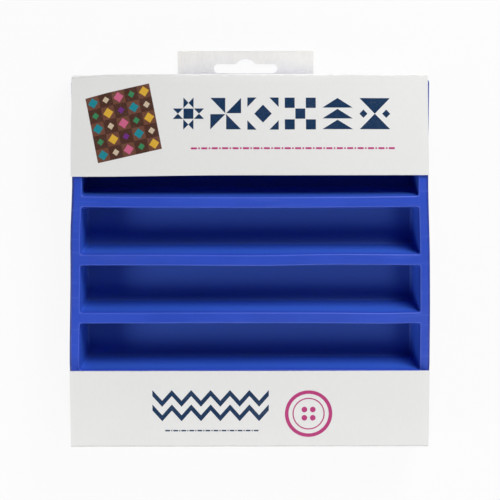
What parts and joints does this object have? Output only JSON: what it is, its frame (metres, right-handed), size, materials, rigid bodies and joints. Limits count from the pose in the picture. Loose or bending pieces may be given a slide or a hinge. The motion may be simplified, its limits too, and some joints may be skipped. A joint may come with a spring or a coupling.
{
  "type": "bobbin organizer",
  "caption": "Square pliable tray with long open rows that grip sewing bobbins, in a folded board display card with a hang tab and a header and footer flap.",
  "frame": {"origin": "centre of the bounding box in X and Y, on the surface that the card's back lies on", "axes": "+X runs along the rows to the right as seen from the front, +Y across the rows towards the hang tab, +Z out of the rows' mouths"},
  "size_m": [0.1524, 0.167, 0.0225],
  "materials": {
    "tray_vinyl": "soft satin moulding",
    "card_board": "coated white board"
  },
  "bodies": {
    "card_back": {"card_back_panel": "card_board"},
    "top_edge": {"card_top_edge": "card_board"},
    "header": {"card_header_flap": "card_board"},
    "bottom_edge": {"card_bottom_edge": "card_board"},
    "footer": {"card_footer_flap": "card_board"},
    "tray": {"tray": "tray_vinyl"}
  },
  "joints": [
    {"name": "top_edge_crease", "type": "hinge", "parent": "card_back", "child": "top_edge", "pos_m": [0, 0.07308, 0.00029], "axis": [-1, 0, 0], "range_deg": [0, 90]},
    {"name": "header_crease", "type": "hinge", "parent": "top_edge", "child": "header", "pos_m": [0, 0.07308, 0.02026], "axis": [-1, 0, 0], "range_deg": [0, 90]},
    {"name": "bottom_edge_crease", "type": "hinge", "parent": "card_back", "child": "bottom_edge", "pos_m": [0, -0.08318, 0.00029], "axis": [1, 0, 0], "range_deg": [0, 90]},
    {"name": "footer_crease", "type": "hinge", "parent": "bottom_edge", "child": "footer", "pos_m": [0, -0.08318, 0.02026], "axis": [1, 0, 0], "range_deg": [-3.5, 86.5]},
    {"name": "tray_slide", "type": "slide", "parent": "card_back", "child": "tray", "axis": [1, 0, 0], "range_m": [-0.155, 0.155]}
  ]
}
